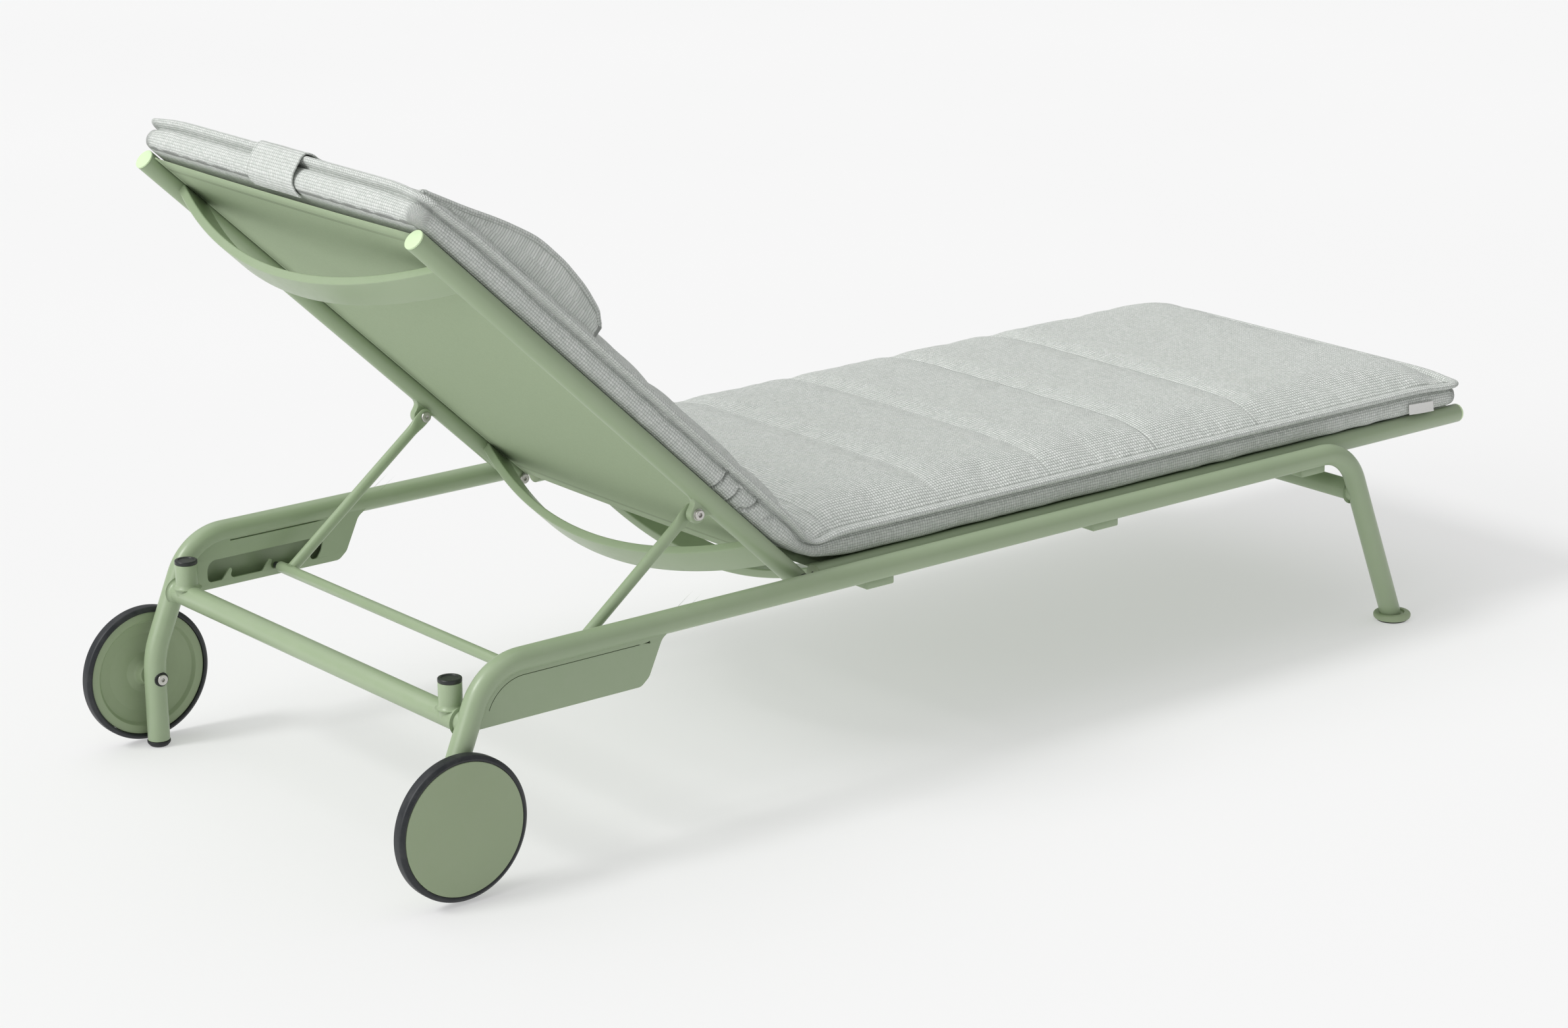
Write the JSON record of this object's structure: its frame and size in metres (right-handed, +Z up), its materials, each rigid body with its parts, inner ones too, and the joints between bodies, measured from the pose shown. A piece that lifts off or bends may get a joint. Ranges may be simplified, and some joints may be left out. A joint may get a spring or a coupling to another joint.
{
  "type": "reclining sun lounger",
  "caption": "Wheeled tubular-steel sun lounger with a ratcheting reclining back on a notched strut, textile slings, a quilted full-length pad and a strapped head pillow.",
  "frame": {"origin": "middle of the footprint, on the floor", "axes": "+Z up, +Y towards the head end, +X across the lounger, to the left of a person lying in it"},
  "size_m": [0.8304, 2.0526, 0.9401],
  "materials": {
    "frame_paint": "satin powder coat",
    "pale_cap": "satin",
    "sage_plastic": "satin moulded",
    "black_rubber": "matte",
    "tyre_rubber": "matte, smooth",
    "black_plastic": "satin",
    "zinc_steel": "zinc plated",
    "sling_textile": "coarse open weave",
    "pad_fabric": "matte outdoor canvas",
    "tag_fabric": "smooth ribbon"
  },
  "bodies": {
    "base": {"base_rail_r": "frame_paint", "base_rail_l": "frame_paint", "rear_cross_tube": "frame_paint", "front_cross_tube": "frame_paint", "leg_cap_r": "black_rubber", "leg_cap_l": "black_rubber", "front_foot_r": "sage_plastic", "front_foot_l": "sage_plastic", "front_glide_r": "black_plastic", "front_glide_l": "black_plastic", "stub_r": "frame_paint", "stub_l": "frame_paint", "stub_cap_r": "black_plastic", "stub_cap_l": "black_plastic", "notch_plate_r": "frame_paint", "notch_plate_l": "frame_paint", "side_cover_r": "frame_paint", "side_cover_l": "frame_paint", "axle_r": "zinc_steel", "axle_l": "zinc_steel", "seat_rail_r": "frame_paint", "seat_rail_l": "frame_paint", "seat_rail_plug_r": "sage_plastic", "seat_rail_plug_l": "sage_plastic", "seat_rail_cap_r": "pale_cap", "seat_rail_cap_l": "pale_cap", "seat_bow_1": "frame_paint", "seat_bow_2": "frame_paint", "seat_bow_3": "frame_paint", "seat_sling": "sling_textile", "hinge_bolt_r": "zinc_steel", "hinge_bolt_l": "zinc_steel", "hinge_spacer_r": "black_plastic", "hinge_spacer_l": "black_plastic", "seat_cushion": "pad_fabric", "care_tag": "tag_fabric"},
    "back": {"back_stile_r": "frame_paint", "back_stile_l": "frame_paint", "stile_cap_r": "pale_cap", "stile_cap_l": "pale_cap", "back_bow_1": "frame_paint", "back_bow_2": "frame_paint", "back_sling": "sling_textile", "lug_r": "frame_paint", "lug_l": "frame_paint", "strut_bolt_r": "zinc_steel", "strut_bolt_l": "zinc_steel", "back_cushion": "pad_fabric", "head_pillow": "pad_fabric", "pillow_strap": "pad_fabric"},
    "strut": {"strut_arm_r": "frame_paint", "strut_arm_l": "frame_paint", "strut_rod": "frame_paint", "strut_pin_r": "black_plastic", "strut_pin_l": "black_plastic"},
    "wheel_r": {"wheel_disc_r": "sage_plastic", "tyre_r": "tyre_rubber"},
    "wheel_l": {"wheel_disc_l": "sage_plastic", "tyre_l": "tyre_rubber"}
  },
  "joints": [
    {"name": "back_recline", "type": "hinge", "parent": "base", "child": "back", "pos_m": [0, 0.31625, 0.296], "axis": [1, 0, 0], "range_deg": [-43.2, 13.2]},
    {"name": "strut_swing", "type": "hinge", "parent": "back", "child": "strut", "pos_m": [0, 0.48861, 0.42288], "axis": [1, 0, 0], "range_deg": [-22.68, 74.22]},
    {"name": "wheel_roll_r", "type": "hinge", "parent": "base", "child": "wheel_r", "pos_m": [-0.4045, 0.92725, 0.103], "axis": [1, 0, 0], "continuous": true},
    {"name": "wheel_roll_l", "type": "hinge", "parent": "base", "child": "wheel_l", "pos_m": [0.4045, 0.92725, 0.103], "axis": [1, 0, 0], "continuous": true}
  ],
  "couplings": [
    {"joint": "strut_swing", "follows": "back_recline", "ratio": -1.718}
  ]
}
